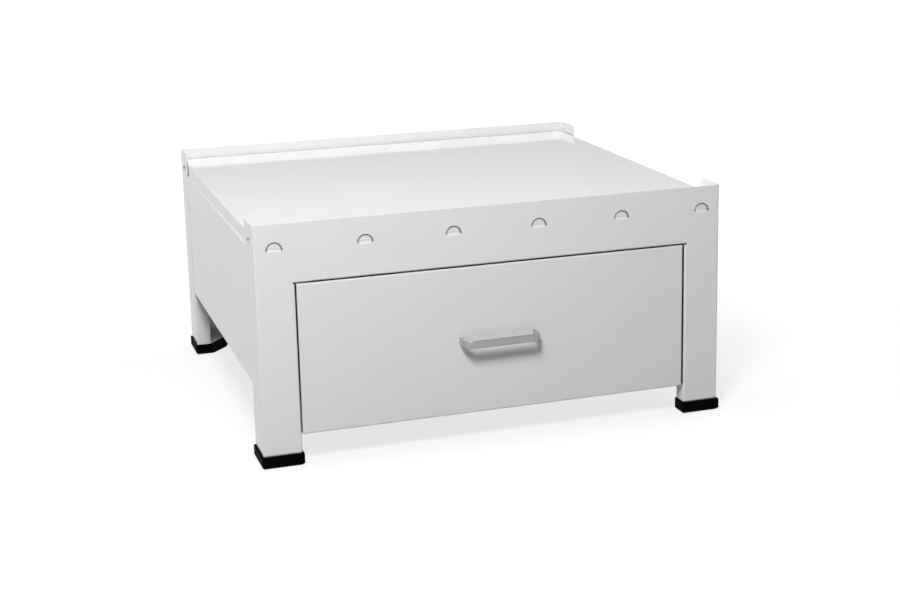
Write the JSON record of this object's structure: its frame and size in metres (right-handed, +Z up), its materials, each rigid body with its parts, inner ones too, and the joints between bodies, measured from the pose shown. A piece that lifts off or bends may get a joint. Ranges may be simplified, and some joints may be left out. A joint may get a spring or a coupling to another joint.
{
  "type": "washer pedestal drawer",
  "caption": "White folded sheet-steel stand for a front-loading washer or dryer, with a rimmed plate on top, rubber feet and a full-extension drawer with a grey bow handle.",
  "frame": {"origin": "on the floor, under the middle of the bounding box", "axes": "+X to the right seen from the drawer's side, -Y towards the front where the drawer opens, +Z up"},
  "size_m": [0.6044, 0.573, 0.3],
  "materials": {
    "white_paint": "gloss",
    "black_rubber": "matte",
    "plated_steel": "satin",
    "grey_metal": "satin"
  },
  "bodies": {
    "stand": {"front_frame": "white_paint", "rear_frame": "white_paint", "top_plate": "white_paint", "plate_brace_front": "white_paint", "plate_brace_rear": "white_paint", "side_panel_left": "white_paint", "side_panel_right": "white_paint", "rear_tie": "white_paint", "foot_front_left": "black_rubber", "foot_front_right": "black_rubber", "foot_rear_left": "black_rubber", "foot_rear_right": "black_rubber", "plate_screws": "plated_steel", "plate_nuts": "plated_steel", "panel_rivets": "plated_steel", "tie_rivets": "plated_steel", "slide_carrier_left": "plated_steel", "slide_carrier_right": "plated_steel", "carrier_rivets": "plated_steel", "slide_outer_left": "plated_steel", "slide_outer_right": "plated_steel", "slide_outer_screws": "plated_steel", "slide_buffer_left": "black_rubber", "slide_buffer_right": "black_rubber"},
    "drawer": {"drawer_front": "white_paint", "drawer_tray": "white_paint", "drawer_box_front": "white_paint", "drawer_back": "white_paint", "slide_inner_left": "plated_steel", "slide_inner_right": "plated_steel", "slide_inner_screws": "plated_steel", "drawer_rivets": "plated_steel", "drawer_front_screws": "plated_steel", "handle": "grey_metal", "handle_screws": "plated_steel"},
    "middle_left": {"slide_middle_left": "plated_steel"},
    "middle_right": {"slide_middle_right": "plated_steel"},
    "outer_balls_left": {"cage_outer_left": "plated_steel", "balls_outer_left": "plated_steel"},
    "outer_balls_right": {"cage_outer_right": "plated_steel", "balls_outer_right": "plated_steel"},
    "inner_balls_left": {"cage_inner_left": "plated_steel", "balls_inner_left": "plated_steel"},
    "inner_balls_right": {"cage_inner_right": "plated_steel", "balls_inner_right": "plated_steel"}
  },
  "joints": [
    {"name": "drawer_slide", "type": "slide", "parent": "stand", "child": "drawer", "axis": [0, -1, 0], "range_m": [0, 0.45]},
    {"name": "middle_slide_left", "type": "slide", "parent": "stand", "child": "middle_left", "axis": [0, -1, 0], "range_m": [0, 0.225]},
    {"name": "middle_slide_right", "type": "slide", "parent": "stand", "child": "middle_right", "axis": [0, -1, 0], "range_m": [0, 0.225]},
    {"name": "outer_balls_slide_left", "type": "slide", "parent": "stand", "child": "outer_balls_left", "axis": [0, -1, 0], "range_m": [0, 0.1125]},
    {"name": "outer_balls_slide_right", "type": "slide", "parent": "stand", "child": "outer_balls_right", "axis": [0, -1, 0], "range_m": [0, 0.1125]},
    {"name": "inner_balls_slide_left", "type": "slide", "parent": "stand", "child": "inner_balls_left", "axis": [0, -1, 0], "range_m": [0, 0.3375]},
    {"name": "inner_balls_slide_right", "type": "slide", "parent": "stand", "child": "inner_balls_right", "axis": [0, -1, 0], "range_m": [0, 0.3375]}
  ],
  "couplings": [
    {"joint": "middle_slide_left", "follows": "drawer_slide", "ratio": 0.5},
    {"joint": "middle_slide_right", "follows": "drawer_slide", "ratio": 0.5},
    {"joint": "outer_balls_slide_left", "follows": "drawer_slide", "ratio": 0.25},
    {"joint": "outer_balls_slide_right", "follows": "drawer_slide", "ratio": 0.25},
    {"joint": "inner_balls_slide_left", "follows": "drawer_slide", "ratio": 0.75},
    {"joint": "inner_balls_slide_right", "follows": "drawer_slide", "ratio": 0.75}
  ]
}
